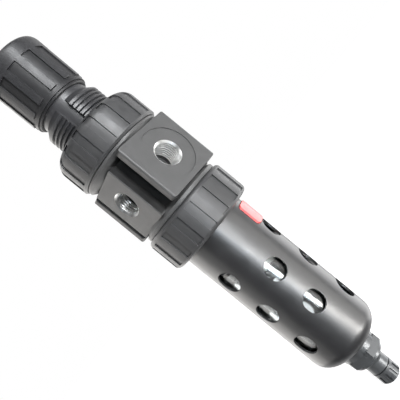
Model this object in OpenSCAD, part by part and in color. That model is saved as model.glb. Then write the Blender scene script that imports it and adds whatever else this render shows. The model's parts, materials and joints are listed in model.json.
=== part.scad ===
// Compressed-air filter regulator: a clamp-ring body with an adjusting
// knob and range spring above, a filter bowl in a drilled metal guard
// below, and a turn drain at the foot.
// Millimetres. +Z runs up the main axis. The origin is on that axis, at
// the seat where a panel meets the foot of the panel thread.
// +X is the outlet port, -X the inlet, -Y and +Y the gauge ports.

/* [Clamp rings] */
// Outside diameter of both clamp rings
ring_d = 52.8; // [51.2:0.2:58]
// Height of the upper ring
bonnet_ring_h = 19.6; // [18.5:0.1:25]
// Height of the lower ring
bowl_ring_h = 19.4; // [17.5:0.1:24]
// Diameter of the threads that carry the rings
ring_thread_d = 46.4; // [44:0.1:47.2]
// Radius of the roll round the top of the upper ring
shoulder_r = 6; // [3:0.1:7.5]
// Lift or drop of a ring that is unscrewed until its thread lets go
ring_travel = 7.5; // [5:0.5:8]
// Number of raised grip pads round each ring
ring_pads = 18; // [8:1:24]
// Depth of the recess between two grip pads
pad_depth = 0.7; // [0.3:0.1:1]

/* [Knob] */
// Diameter over the knob's ribs at their top
knob_d = 35.6; // [34.8:0.1:38]
// Diameter over the knob's ribs at their foot
knob_rib_d = 35.2; // [34.4:0.1:36]
// Diameter of the plain band under the ribs
knob_rim_d = 33.6; // [33:0.1:34.2]
// Height of the knob
knob_h = 34.8; // [33.5:0.1:41]
// Number of ribs, and of the recesses between them
knob_ribs = 12; // [8:1:16]
// Part of each pitch that the recess takes
recess_share = 0.6; // [0.4:0.05:0.7]
// Height of a rib
rib_h = 21.6; // [18:0.1:22.5]
// Travel of the knob from its free place down to its locked place
knob_travel = 3; // [2:0.5:3.5]

/* [Bonnet] */
// Diameter of the thread for the panel nut
panel_thread_d = 35.2; // [33:0.1:37]
// Length of the panel thread above the upper ring
panel_thread_h = 11.2; // [9.5:0.1:12]
// Distance across the two flats that key the thread in its panel
panel_flats = 31.9; // [31:0.1:34]
// Diameter of the plain neck that the knob covers
neck_d = 29.3; // [28.6:0.1:29.6]
// Height of the bonnet above the panel seat
bonnet_h = 35.5; // [34:0.5:36]
// Diameter of the chamber for the range spring
chamber_d = 25.6; // [24.6:0.1:26]

/* [Range spring and screw] */
// Diameter of the adjusting screw's thread
screw_d = 8; // [6:0.5:9]
// Outside diameter of the range spring
range_spring_d = 23; // [20:0.1:23.6]
// Wire diameter of the range spring
range_wire_d = 2.6; // [1.6:0.1:2.8]
// Turns of the range spring
range_turns = 5.5; // [3:0.5:7]
// Thickness of the spring nut
nut_h = 5; // [3.5:0.5:6]

/* [Casting] */
// Distance between the two port faces
body_w = 48.4; // [46:0.2:56]
// Width of a port flange
flange_w = 36; // [33:0.5:42]
// Height of a port flange
flange_h = 32.9; // [31:0.1:40]
// Thickness of a port flange
flange_t = 4.5; // [3:0.1:6]
// Distance between the two gauge pads
gauge_span = 43; // [42.6:0.2:48]
// Width of a gauge pad
gauge_pad_w = 24.4; // [19:0.2:28]
// Diameter of the round core between the rings
core_d = 41; // [40:0.2:42.4]
// Height of the collar under the upper ring
upper_collar_h = 2.7; // [2.4:0.1:6]
// Height of the collar above the lower ring
lower_collar_h = 3.1; // [2.5:0.1:6]
// Bore of the four quarter-inch ports, at the crests of their thread
port_bore_d = 11.9; // [10:0.1:12.4]
// Diameter of a port's mouth
port_mouth_d = 14; // [12.8:0.1:15]
// Diameter of the shallow step round each main port
port_step_d = 27.5; // [20:0.5:30]

/* [Bowl and guard] */
// Outside diameter of the bowl guard
guard_d = 40; // [39:0.2:41.6]
// Wall of the guard
guard_wall = 1.2; // [0.8:0.1:1.4]
// Length of the guard below the lower ring
guard_drop = 89; // [84:0.5:120]
// Radius of the guard's domed foot
guard_dome_r = 8.5; // [6:0.1:9]
// Width of a guard hole
hole_w = 10.4; // [6:0.1:12]
// Height of a guard hole
hole_h = 11.8; // [8:0.1:14]
// Number of hole columns round the guard
hole_columns = 6; // [4:2:6]
// Pitch of the holes in one column
hole_pitch = 23.2; // [18:0.1:24]
// Height of the middle row of holes above the foot of the guard
hole_mid_h = 44.4; // [38:0.1:46]
// Outside diameter of the clear bowl beside the latch
bowl_d = 32.4; // [31:0.2:32.6]
// Wall of the clear bowl
bowl_wall = 2.2; // [1.6:0.1:2.4]
// Outside diameter of the bowl's belly, under the latch
belly_d = 36; // [33:0.2:36.4]

/* [Filter] */
// Gap between the filter element and the bowl round it
element_gap = 2; // [1.5:0.1:4]
// Wall of the filter element
element_wall = 3.5; // [2:0.5:4]
// Length of the filter element
element_l = 46; // [30:1:60]
// Number of vanes in the deflector
vanes = 10; // [6:1:12]

/* [Drain] */
// Width across the flats of the drain body
drain_af = 19; // [17:0.1:20]
// Diameter of the drain neck and knob
drain_d = 11.7; // [11:0.1:14]
// Length of the drain neck
drain_neck_l = 7.6; // [6:0.1:12]
// Length of the drain knob
drain_knob_l = 7.4; // [5:0.1:10]
// Number of flutes round the drain knob
drain_flutes = 10; // [6:1:14]

/* [Latch] */
// Width of the red latch tab
latch_w = 10.5; // [8:0.1:13]
// Height of the red latch tab
latch_h = 13.2; // [9:0.1:14]
// Inward travel of the latch tab
latch_travel = 1.1; // [0.6:0.1:1.1]

/* [Hidden] */
$fn = 96;
slack = 0.3;      // clearance between moving or loose pieces
run = 0.05;       // clearance of a running fit on radius
eps = 0.02;       // overshoot of a cut past a surface

ring_r = ring_d / 2;
thread_r = ring_thread_d / 2;
ring_bore_r = thread_r + 2 * run;

// Stack of the upper joint, from the panel seat down
ring_roof = 4.5;
slip_t = 0.8;
bonnet_flange_t = 3.6;
diaphragm_t = 1;
slip_top = -ring_roof;
bonnet_flange_top = slip_top - slip_t;
diaphragm_top = bonnet_flange_top - bonnet_flange_t;
casting_top = diaphragm_top - diaphragm_t;
inner_flange_r = thread_r - 0.6;

// Levels of the casting
collar_top = -bonnet_ring_h - slack;
block_top = collar_top - upper_collar_h;
block_foot = block_top - flange_h;
port_z = (block_top + block_foot) / 2;
collar_foot = block_foot - lower_collar_h;
bowl_ring_top = collar_foot - slack;
bowl_ring_foot = bowl_ring_top - bowl_ring_h;
bowl_ring_floor = 3.9;
spigot_foot = bowl_ring_top - ring_travel - 2.5;
core_r = core_d / 2;
half_w = body_w / 2;
half_gauge = gauge_span / 2;

// Hollows of the casting
port_r = port_bore_d / 2;
port_depth = 13.2;
gauge_depth = 9.5;
control_r = 17.5;
control_floor = casting_top - 5;
outlet_r = 13;
seat_top = control_floor - 11.5;
seat_t = 5;
seat_foot = seat_top - seat_t;
duct_r = 4.2;
duct_x = 13.5;
valve_bore_r = 8;
boss_r = 11;
annulus_roof = block_foot + 3;
boss_foot = annulus_roof - 7;
spigot_bore_r = 19;

// Bonnet
neck_r = neck_d / 2;
chamber_r = chamber_d / 2;
chamber_top = bonnet_h - 4.5;
panel_r = panel_thread_d / 2;
relief_groove = 0.3;
panel_lead_h = 3.5;
flats_turn = -34;
key_w = 2;

// Knob
knob_rim_z = 17.7;
knob_top = knob_rim_z + knob_h;
knob_crown = 1;
knob_edge_z = knob_top - knob_crown;
knob_r = knob_d / 2;
knob_rib_r = knob_rib_d / 2;
knob_rim_r = knob_rim_d / 2;
knob_lip_r = knob_rim_r - 0.7;
knob_lip_h = 1.2;
knob_bore_r = neck_r + slack;
knob_roof = knob_top - 3.2;
rib_foot = knob_rim_z + 3.7;
rib_top = rib_foot + rib_h;
recess_turn = 21.6;
hub_foot = bonnet_h + knob_travel + 0.5;
detent_z = knob_rim_z + 3.8;
detent_wire_r = 0.5;
detent_mid_r = neck_r + 2 * run + detent_wire_r;

// Screw, nut and range spring
journal_r = screw_d / 2 + 0.5;
washer_t = 0.8;
screw_collar_top = chamber_top - washer_t;
screw_collar_t = 2.2;
drive_af = 10;
drive_top = knob_roof - knob_travel - 0.5;
nut_top = screw_collar_top - screw_collar_t - 0.7;
nut_travel = 10;
screw_foot = nut_top - nut_h - nut_travel - 2.5;
plate_t = 2.4;
plate_top = diaphragm_top + plate_t;
plate_r = 12;
spring_foot = plate_top;
spring_top = nut_top - nut_h;

// Valve
stroke = 1.2;
hub_r = 8;
hub_t = 2;
rivet_r = 2.6;
relief_seat_foot = casting_top - hub_t;
vent_r = 0.9;
pin_r = 1.5;
seat_hole_r = 4;
disc_r = 5.5;
disc_t = 1.5;
head_t = 2.5;
head_foot = seat_foot - disc_t - head_t;
guide_r = 2.6;
guide_l = 10;
carrier_shelf = head_foot - 8;
carrier_flange_top = boss_foot - 2;
carrier_flange_t = 2;
carrier_flange_r = 12.8;
element_top = carrier_flange_top - carrier_flange_t;
element_foot = element_top - element_l;
stud_r = 2.5;

// Bowl, guard and what clamps them
guard_r = guard_d / 2;
guard_in = guard_r - guard_wall;
guard_foot = bowl_ring_foot - guard_drop;
dome_x = guard_r - guard_dome_r;
dome_z = guard_foot + guard_dome_r;
guard_flange_foot = bowl_ring_foot + bowl_ring_floor;
bowl_flange_foot = guard_flange_foot + guard_wall;
bowl_flange_top = spigot_foot - slack;
bowl_r = bowl_d / 2;
bowl_in = bowl_r - bowl_wall;
element_r = bowl_in - element_gap;
bowl_neck_r = spigot_bore_r - 2 * run;
bowl_neck_top = spigot_foot + 4.5;
bowl_seal_r = 0.9;
foot_hole_r = 10.7;
bowl_boss_r = foot_hole_r - slack;
bowl_boss_foot = guard_foot - 0.5;
bowl_dome_r = guard_dome_r - 3;
bowl_dome_z = dome_z;
column_turn = -25.5;

// Drain
gasket_t = 1;
drain_flange_top = bowl_boss_foot - gasket_t;
drain_flange_r = 10.2;
hex_top = drain_flange_top - 3.2;
hex_h = 4.8;
hex_foot = hex_top - hex_h;
hex_turn = -31.8;
hex_collar_h = 2;
cove_h = 3.2;
neck_foot = hex_foot - hex_collar_h - drain_neck_l;
flute_turn = 15.2;
drain_gap = 0.6;
drain_knob_top = neck_foot - drain_gap;
drain_foot = drain_knob_top - drain_knob_l;
drain_r = drain_d / 2;
shank_r = 5;
shank_top = bowl_boss_foot + 10;
drain_seat_r = 2.2;
drain_bore_r = 3.6;
drain_lift = 1.5;

// Latch
latch_turn = 29;
latch_top = bowl_ring_foot - 2.2;
latch_mid = latch_top - latch_h / 2;
latch_face_r = guard_r + 0.8;
latch_rib_t = 0.8;
latch_back_r = guard_in - slack;
latch_skirt = 0.7;
belly_r = belly_d / 2;
belly_in = belly_r - bowl_wall;
belly_rise = 1;
belly_top = latch_mid - latch_h / 2 - latch_skirt - slack;

// ---- helpers -------------------------------------------------------

// Solid of revolution between two levels
module rod(r, foot, top) {
    translate([0, 0, foot]) cylinder(r = r, h = top - foot);
}

// Hollow of the same kind
module tube(r_out, r_in, foot, top) {
    difference() {
        rod(r_out, foot, top);
        rod(r_in, foot - 1, top + 1);
    }
}

// Truncated cone between two levels
module taper(r_foot, r_top, foot, top) {
    translate([0, 0, foot]) cylinder(r1 = r_foot, r2 = r_top, h = top - foot);
}

// Copies turned evenly about the axis
module around(count, start = 0) {
    for (i = [0 : count - 1]) rotate([0, 0, start + i * 360 / count]) children();
}

// Round wire ring about the axis
module wire_ring(r_mid, r_wire, z) {
    translate([0, 0, z]) rotate_extrude() translate([r_mid, 0]) circle(r = r_wire, $fn = 32);
}

// Hexagonal bar with its flats across AF
module hex_bar(af, foot, top) {
    translate([0, 0, foot]) cylinder(r = af / sqrt(3), h = top - foot, $fn = 6);
}

// Plate outline with round corners, centred
module round_rect(w, h, r) {
    square([w - 2 * r, h], center = true);
    square([w, h - 2 * r], center = true);
    for (x = [-1, 1], y = [-1, 1]) translate([x * (w / 2 - r), y * (h / 2 - r)]) circle(r = r);
}

// Coil spring: a wire swept along a helix whose end turns lie closed
module coil(r_mid, r_wire, turns, foot, top, sides, steps) {
    n = turns * steps;
    pitch_rise = top - foot - 2 * r_wire;
    dead = 0.75 / turns;
    function level(t) = t < dead ? r_wire * 1.6 * t / dead * 0.75
        : t > 1 - dead ? pitch_rise - r_wire * 1.6 * (1 - t) / dead * 0.75
        : let (a = 1.2 * r_wire, u = (t - dead) / (1 - 2 * dead)) a + (pitch_rise - 2 * a) * u;
    function spot(i, j) = let (a = 360 * turns * i / n, b = 360 * j / sides)
        [(r_mid + r_wire * cos(b)) * cos(a), (r_mid + r_wire * cos(b)) * sin(a),
         foot + r_wire + level(i / n) + r_wire * sin(b)];
    points = [for (i = [0 : n], j = [0 : sides - 1]) spot(i, j)];
    walls = [for (i = [0 : n - 1], j = [0 : sides - 1]) let (k = (j + 1) % sides)
        [i * sides + j, i * sides + k, (i + 1) * sides + k, (i + 1) * sides + j]];
    ends = [[for (j = [sides - 1 : -1 : 0]) j], [for (j = [0 : sides - 1]) n * sides + j]];
    polyhedron(points, concat(walls, ends), convexity = 6);
}

// ---- clamp rings ---------------------------------------------------

// Outline of the upper ring's outside, moved in by inset
module bonnet_ring_outline(inset) {
    bevel = 1;
    r = ring_r - inset;
    c = [ring_r - shoulder_r, -shoulder_r];
    intersection() {
        translate(c) circle(r = shoulder_r - inset);
        translate(c) square(shoulder_r);
    }
    polygon([
        [0, -bonnet_ring_h], [r - bevel, -bonnet_ring_h], [r, -bonnet_ring_h + bevel],
        [r, c[1]], c, [c[0], -inset], [0, -inset],
    ]);
}

// Outline of the lower ring's outside, moved in by inset
module bowl_ring_outline(inset) {
    corner = 2.4;
    r = ring_r - inset;
    mid = bowl_ring_top - bowl_ring_h / 2;
    intersection() {
        translate([0, mid]) round_rect(2 * r, bowl_ring_h, corner);
        translate([0, bowl_ring_foot]) square([r, bowl_ring_h]);
    }
}

// What is cut away between the raised pads, from foot to top
module pad_recesses(foot, top, turn) {
    half = 180 / ring_pads;
    around(ring_pads, turn) rotate_extrude(angle = half) difference() {
        translate([ring_r / 2, foot]) square([ring_r, top - foot]);
        children();
    }
}

module bonnet_ring() {
    color("#3c3c3e") difference() {
        rotate_extrude() bonnet_ring_outline(0);
        pad_recesses(-bonnet_ring_h + 1.6, -1.5, 3) bonnet_ring_outline(pad_depth);
        rod(ring_bore_r, -bonnet_ring_h - 1, slip_top);
        rod(panel_r + slack, -ring_roof - 1, 1);
    }
}

module slip_ring() {
    color("#e8e4d8") tube(inner_flange_r, panel_r + slack, bonnet_flange_top, slip_top);
}

module bowl_ring() {
    color("#3c3c3e") difference() {
        rotate_extrude() bowl_ring_outline(0);
        pad_recesses(bowl_ring_foot + 1.6, bowl_ring_top - 2.3, 0.3)
            bowl_ring_outline(pad_depth);
        rod(ring_bore_r, guard_flange_foot, bowl_ring_top + 1);
        rod(guard_r + slack, bowl_ring_foot - 1, bowl_ring_top);
    }
}

// ---- bonnet --------------------------------------------------------

module bonnet() {
    bevel = 0.8;
    lead_top = panel_thread_h + panel_lead_h;
    color("#2e2e30") difference() {
        rotate_extrude() polygon([
            [0, diaphragm_top], [inner_flange_r, diaphragm_top],
            [inner_flange_r, bonnet_flange_top],
            [panel_r - relief_groove, bonnet_flange_top],
            [panel_r - relief_groove, 0], [panel_r, 0],
            [panel_r, panel_thread_h], [neck_r, lead_top], [neck_r, bonnet_h - bevel],
            [neck_r - bevel, bonnet_h], [0, bonnet_h],
        ]);
        bonnet_chamber();
        rod(journal_r + run, chamber_top - 1, bonnet_h + 1);
        for (z = [detent_z, detent_z - knob_travel]) wire_ring(neck_r + 0.15, detent_wire_r, z);
        // key flats and the vent hole
        for (side = [0, 180]) rotate([0, 0, flats_turn + side])
            translate([panel_flats / 2, -panel_r, 0]) cube([panel_r, 2 * panel_r, lead_top]);
        rotate([0, 0, 142]) translate([0, 0, lead_top + 1.2]) rotate([0, 90, 0])
            cylinder(r = 0.9, h = 2 * neck_r);
    }
}

// Chamber of the range spring, with two keys that stop the nut turning
module bonnet_chamber() {
    difference() {
        union() {
            rod(chamber_r, diaphragm_top - 1, chamber_top);
            taper(control_r, chamber_r, diaphragm_top, bonnet_flange_top);
            rod(control_r, diaphragm_top - 1, diaphragm_top + eps);
        }
        for (side = [-1, 1]) translate([side * (chamber_r + 0.2), 0, plate_top + 8])
            translate([-1.5, -key_w / 2, 0]) cube([3, key_w, chamber_top]);
    }
}

// ---- knob and its detent -------------------------------------------

module adjusting_knob() {
    inner_r = 2;
    color("#3a3a3c") difference() {
        union() {
            difference() {
                knob_outside();
                rotate_extrude() {
                    translate([0, knob_rim_z - 1])
                        square([knob_bore_r, knob_roof - inner_r - knob_rim_z + 1]);
                    translate([0, knob_rim_z]) square([knob_bore_r - inner_r, knob_roof - knob_rim_z]);
                    intersection() {
                        translate([knob_bore_r - inner_r, knob_roof - inner_r]) circle(r = inner_r);
                        square([knob_r, knob_top]);
                    }
                }
            }
            rod(drive_af * 0.85, hub_foot, knob_roof + 1);
        }
        hex_bar(drive_af + 4 * run, hub_foot - 1, knob_roof - 0.5);
        wire_ring(detent_mid_r, detent_wire_r + 2 * run, detent_z);
    }
}

// Lip, plain band and ribs; the recesses lie level with the band
module knob_outside() {
    shoulder_w = 1.2;
    shoulder_h = 3;
    floor_top = knob_rim_r + (knob_r - knob_rib_r) * 0.8;
    crown_r = (pow(knob_r - shoulder_w, 2) / knob_crown + knob_crown) / 2;
    recess_arc = recess_share * 360 / knob_ribs;
    difference() {
        rotate_extrude() {
            polygon(concat([
                [0, knob_rim_z], [knob_lip_r - 0.3, knob_rim_z], [knob_lip_r, knob_rim_z + 0.3],
                [knob_lip_r, knob_rim_z + knob_lip_h], [knob_rim_r, knob_rim_z + knob_lip_h],
                [knob_rim_r, rib_foot], [knob_rib_r - 0.2, rib_foot], [knob_rib_r, rib_foot + 0.2]],
                [for (a = [0 : 15 : 90]) [
                    knob_r - shoulder_w * (1 - cos(a)), knob_edge_z - shoulder_h * (1 - sin(a))]],
                [[0, knob_edge_z]]));
            intersection() {
                translate([0, knob_top - crown_r]) circle(r = crown_r);
                translate([0, knob_edge_z - 1]) square([knob_r - shoulder_w, 2 * knob_crown + 1]);
            }
        }
        around(knob_ribs, recess_turn - recess_arc / 2) rotate_extrude(angle = recess_arc) polygon([
            [knob_rim_r + run, rib_foot - 1], [knob_r + 1, rib_foot - 1],
            [knob_r + 1, rib_top], [floor_top, rib_top]]);
    }
}

module detent_ring() {
    color("#b8bcc0") difference() {
        wire_ring(detent_mid_r, detent_wire_r, detent_z);
        rotate([0, 0, 200]) translate([0, -1, detent_z - 1]) cube([2 * knob_bore_r, 2, 2]);
    }
}

// ---- screw, nut and range spring -----------------------------------

module adjusting_screw() {
    bevel = 0.8;
    color("#a9adb2") union() {
        hex_bar(drive_af, bonnet_h, drive_top);
        rod(journal_r, screw_collar_top, bonnet_h);
        rod(screw_d, screw_collar_top - screw_collar_t, screw_collar_top);
        rod(screw_d / 2, screw_foot + bevel, screw_collar_top - screw_collar_t);
        taper(screw_d / 2 - bevel, screw_d / 2, screw_foot, screw_foot + bevel);
    }
}

module thrust_washer() {
    color("#c9a256") tube(screw_d, journal_r + run, screw_collar_top, chamber_top);
}

module spring_nut() {
    pilot_r = range_spring_d / 2 - range_wire_d - slack;
    color("#a9adb2") difference() {
        union() {
            rod(chamber_r - slack, nut_top - nut_h, nut_top);
            taper(pilot_r - 0.6, pilot_r, nut_top - nut_h - 2, nut_top - nut_h);
        }
        rod(screw_d / 2 + run, nut_top - nut_h - 3, nut_top + 1);
        for (side = [-1, 1]) translate([side * chamber_r, 0, nut_top - nut_h - 1])
            translate([-2, -key_w / 2 - slack, 0]) cube([4, key_w + 2 * slack, nut_h + 2]);
    }
}

module range_spring() {
    color("#6f7378")
        coil((range_spring_d - range_wire_d) / 2, range_wire_d / 2, range_turns,
             spring_foot, spring_top, 8, 24);
}

// ---- diaphragm and valve -------------------------------------------

module diaphragm_plate() {
    pilot_r = range_spring_d / 2 - range_wire_d - slack;
    color("#c2c6ca") difference() {
        union() {
            rod(plate_r, diaphragm_top, plate_top);
            taper(pilot_r, pilot_r - 0.8, plate_top, plate_top + 2.2);
        }
        rod(rivet_r, diaphragm_top - 1, plate_top + 3);
    }
}

// Rubber sheet with one rolled groove between the plate and the clamped rim
module diaphragm() {
    roll_r = (control_r - plate_r) / 2 - 0.4;
    roll_mid = (control_r + plate_r) / 2 + 0.2;
    color("#26262a") rotate_extrude() difference() {
        union() {
            translate([rivet_r, casting_top]) square([inner_flange_r - rivet_r, diaphragm_t]);
            translate([roll_mid, casting_top]) circle(r = roll_r);
        }
        translate([roll_mid, diaphragm_top]) circle(r = roll_r - 0.6);
        translate([roll_mid - roll_r, diaphragm_top]) square([2 * roll_r, 3]);
    }
}

// Hub under the diaphragm: riveted through the plate, vented at its centre
module relief_seat() {
    color("#c9a256") difference() {
        union() {
            rod(hub_r, relief_seat_foot, casting_top);
            rod(rivet_r, casting_top, plate_top + 2.8);
        }
        rod(vent_r, relief_seat_foot - 1, plate_top + 4);
    }
}

module valve_seat() {
    lip = 0.6;
    color("#c9a256") difference() {
        rod(valve_bore_r - 1.5, seat_foot, seat_top);
        rod(seat_hole_r, seat_foot - 1, seat_top + 1);
        translate([0, 0, seat_top - lip]) cylinder(r1 = seat_hole_r, r2 = seat_hole_r + lip + eps, h = lip + eps);
    }
}

module poppet_disc() {
    color("#26262a") tube(disc_r, pin_r + run, seat_foot - disc_t, seat_foot);
}

module valve_poppet() {
    color("#c9a256") union() {
        taper(pin_r, vent_r - 0.2, relief_seat_foot - 1.2, relief_seat_foot);
        rod(pin_r, seat_foot - disc_t, relief_seat_foot - 1.2);
        rod(disc_r, head_foot, head_foot + head_t);
        rod(guide_r, head_foot - guide_l, head_foot);
    }
}

module valve_spring() {
    color("#b8bcc0") coil(4, 0.4, 6, carrier_shelf, head_foot, 6, 16);
}

// Screwed plug that guides the poppet and carries the filter below it
module valve_carrier() {
    groove_z = boss_foot + 3;
    color("#d9d4c4") difference() {
        union() {
            rod(valve_bore_r - run, element_top, head_foot - 0.5);
            rod(carrier_flange_r, element_top, carrier_flange_top);
        }
        rod(disc_r + 0.7, carrier_shelf, head_foot + 1);
        rod(guide_r + run, head_foot - guide_l - 3, head_foot);
        rod(stud_r + run, element_top - 1, element_top + 6);
        around(4, 45) translate([5.3, 0, element_top - 1]) cylinder(r = 1.3, h = 40);
        difference() {
            rod(valve_bore_r + 1, groove_z - 0.7, groove_z + 0.7);
            rod(valve_bore_r - 1.1, groove_z - 1, groove_z + 1);
        }
    }
}

module carrier_seal() {
    seal_r = 0.5;
    color("#26262a") wire_ring(valve_bore_r - seal_r - run, seal_r, boss_foot + 3);
}

// ---- filter --------------------------------------------------------

// Swirl ring: slanted vanes between a hub and a thin rim
module deflector() {
    hub_out = boss_r + 1.8;
    rim_out = bowl_neck_r - 0.6;
    foot = carrier_flange_top;
    top = annulus_roof - 2.5;
    color("#1f1f22") union() {
        tube(hub_out, boss_r + run, foot, annulus_roof);
        tube(rim_out, rim_out - 1, foot, foot + 4);
        intersection() {
            tube(rim_out - 0.5, hub_out - 0.5, foot, top);
            around(vanes) translate([(hub_out + rim_out) / 2, 0, (foot + top) / 2]) rotate([38, 0, 0])
                cube([rim_out, 0.9, 2 * (top - foot)], center = true);
        }
    }
}

module filter_element() {
    color("#efece2") tube(element_r, element_r - element_wall, element_foot, element_top);
}

// Quiet-zone cap under the element, on a stud screwed up into the carrier
module baffle() {
    rim_r = bowl_in - 1;
    color("#1f1f22") union() {
        rod(stud_r, element_foot - 1, element_top + 5);
        rotate_extrude() polygon([
            [0, element_foot - 4], [4, element_foot - 4], [6, element_foot - 2],
            [rim_r - 1, element_foot - 2], [rim_r, element_foot - 5.5],
            [rim_r + 0.01, element_foot - 3], [rim_r - 0.5, element_foot - 0.5],
            [element_r - element_wall - 0.3, element_foot],
            [element_r - element_wall - 0.3, element_foot + 2], [0, element_foot + 2],
        ]);
    }
}

// ---- casting -------------------------------------------------------

// Flanges and gauge pads seen from above
module body_plan() {
    corner = 1.2;
    circle(r = core_r);
    for (side = [-1, 1]) {
        translate([side * (half_w - flange_t / 2), 0]) round_rect(flange_t, flange_w, corner);
        translate([side * (half_w - flange_t) / 2, 0])
            square([half_w - flange_t + 1, flange_w - 8], center = true);
        translate([0, side * (half_gauge - 4)]) round_rect(gauge_pad_w, 8, 0.5);
    }
}

// Rounded block seen along Y or X, that trims the plan's top and foot
module block_trim(w, depth, h, mid, corner) {
    translate([0, 0, mid]) rotate([90, 0, 0]) translate([0, 0, -depth / 2])
        linear_extrude(depth) round_rect(w, h, corner);
}

// Threaded port: a mouth that tapers into the bore
module port_hole(face, depth) {
    translate([face - depth, 0, 0]) rotate([0, 90, 0]) cylinder(r = port_r, h = depth + 1);
    translate([face - (port_mouth_d - port_bore_d) / 2, 0, 0]) rotate([0, 90, 0])
        cylinder(r1 = port_r, r2 = port_mouth_d / 2 + eps, h = (port_mouth_d - port_bore_d) / 2 + eps);
}

module casting_outside() {
    pad_top = block_top - 1.6;
    union() {
        // port flanges and core
        intersection() {
            translate([0, 0, block_foot]) linear_extrude(flange_h) body_plan();
            union() {
                rotate([0, 0, 90]) block_trim(flange_w, body_w, flange_h, port_z, 2);
                translate([0, 0, block_foot]) linear_extrude(pad_top - block_foot)
                    square([gauge_pad_w, gauge_span], center = true);
            }
        }
        // collars and threaded spigots
        rotate_extrude() polygon([
            [0, casting_top], [thread_r - 0.6, casting_top], [thread_r, casting_top - 0.6],
            [thread_r, collar_top], [25, collar_top], [25, collar_top - 1.2],
            [core_r + 1, block_top - 1.4], [core_r, block_top - 2],
            [core_r, block_foot + 2], [core_r + 1.2, block_foot + 0.6],
            [24.3, collar_foot + 1.6], [24.3, collar_foot], [thread_r, collar_foot],
            [thread_r, spigot_foot + 0.6], [thread_r - 0.6, spigot_foot], [0, spigot_foot],
        ]);
    }
}

module body_casting() {
    step = 0.5;
    color("#5c5c5e") difference() {
        casting_outside();
        // diaphragm chamber, outlet chamber and the seat's hole
        rod(control_r, control_floor, casting_top + 1);
        rod(outlet_r, seat_top, casting_top);
        rod(valve_bore_r - 1.5, seat_foot - 1, seat_top + 1);
        // valve bore and the annulus round its boss
        rod(valve_bore_r, boss_foot - 1, seat_foot);
        difference() {
            rod(spigot_bore_r, spigot_foot - 1, annulus_roof);
            rod(boss_r, boss_foot, annulus_roof + 1);
        }
        // main ports, each with its step, and the ducts behind them
        for (side = [0, 180]) rotate([0, 0, side]) translate([0, 0, port_z]) {
            port_hole(half_w - step, port_depth);
            translate([half_w - step, 0, 0]) rotate([0, 90, 0]) cylinder(r = port_step_d / 2, h = 2);
        }
        translate([duct_x, 0, port_z - 5.5]) cylinder(r = duct_r, h = seat_top - port_z + 8);
        translate([-duct_x, 0, annulus_roof - 1]) cylinder(r = duct_r, h = port_z - annulus_roof + 6);
        // gauge ports and their bleed ducts
        for (side = [-90, 90]) rotate([0, 0, side]) translate([0, 0, port_z]) {
            port_hole(half_gauge, gauge_depth);
            translate([half_gauge - gauge_depth + 0.6, 0, 0])
                cylinder(r = 1.3, h = seat_top - port_z + 4);
        }
    }
}

// Socket plug in the rear gauge port
module gauge_plug() {
    sink = 2;
    color("#8f9398") translate([0, 0, port_z]) rotate([0, 0, 90]) difference() {
        translate([half_gauge - sink - 6.5, 0, 0]) rotate([0, 90, 0]) cylinder(r = port_r - run, h = 6.5);
        translate([half_gauge - sink - 4, 0, 0]) rotate([0, 90, 0])
            cylinder(r = 6 / sqrt(3), h = 5, $fn = 6);
    }
}

// ---- bowl, guard and latch -----------------------------------------

// Outline of a domed cup: side, rolled corner and flat foot
module cup_outline(r, corner_x, corner_z, corner_r, top) {
    translate([0, corner_z]) square([r, top - corner_z]);
    translate([0, corner_z - corner_r]) square([corner_x, corner_r + 1]);
    intersection() {
        translate([corner_x, corner_z]) circle(r = corner_r);
        translate([0, corner_z - corner_r]) square([r, corner_r + 1]);
    }
}

// Outline of the bowl: a domed cup whose belly widens under the latch
module bowl_outline(neck, belly, corner_r, step_top, top) {
    cup_outline(belly, belly_r - bowl_dome_r, bowl_dome_z, corner_r, step_top - belly_rise);
    polygon([
        [0, step_top - belly_rise], [belly, step_top - belly_rise], [neck, step_top],
        [neck, top], [0, top],
    ]);
}

module bowl() {
    in_dome_r = bowl_dome_r - bowl_wall;
    color("#dfe8ec", 0.4) difference() {
        union() {
            rotate_extrude() {
                bowl_outline(bowl_r, belly_r, bowl_dome_r, belly_top, bowl_flange_foot + 1);
                translate([0, bowl_flange_foot]) square([inner_flange_r, bowl_flange_top - bowl_flange_foot]);
                translate([0, bowl_flange_top - 1]) square([bowl_neck_r, bowl_neck_top - bowl_flange_top + 1]);
            }
            rod(bowl_boss_r, bowl_boss_foot, bowl_dome_z - bowl_dome_r + 2);
        }
        rotate_extrude()
            bowl_outline(bowl_in, belly_in, in_dome_r, belly_top - bowl_wall, bowl_flange_foot + 20);
        rod(shank_r + run, bowl_boss_foot - 1, bowl_dome_z);
        difference() {
            rod(bowl_neck_r + 1, bowl_neck_top - 3.4, bowl_neck_top - 1.2);
            rod(spigot_bore_r - 2 * run - 2 * bowl_seal_r, bowl_neck_top - 4, bowl_neck_top);
        }
    }
}

module bowl_seal() {
    color("#26262a") wire_ring(spigot_bore_r - run - bowl_seal_r, bowl_seal_r, bowl_neck_top - 2.3);
}

// Outline of one guard hole: a round hole drawn a little tall
module hole_outline() {
    r = hole_w / 2;
    for (z = [-1, 1]) translate([0, z * (hole_h / 2 - r)]) circle(r = r);
    square([hole_w, hole_h - hole_w], center = true);
}

module guard_hole(z) {
    translate([0, 0, z]) rotate([90, 0, 90]) linear_extrude(guard_r + 1) hole_outline();
}

module latch_outline(w, h, corner) {
    rotate([90, 0, 90]) linear_extrude(guard_r + 3) round_rect(w, h, corner);
}

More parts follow.
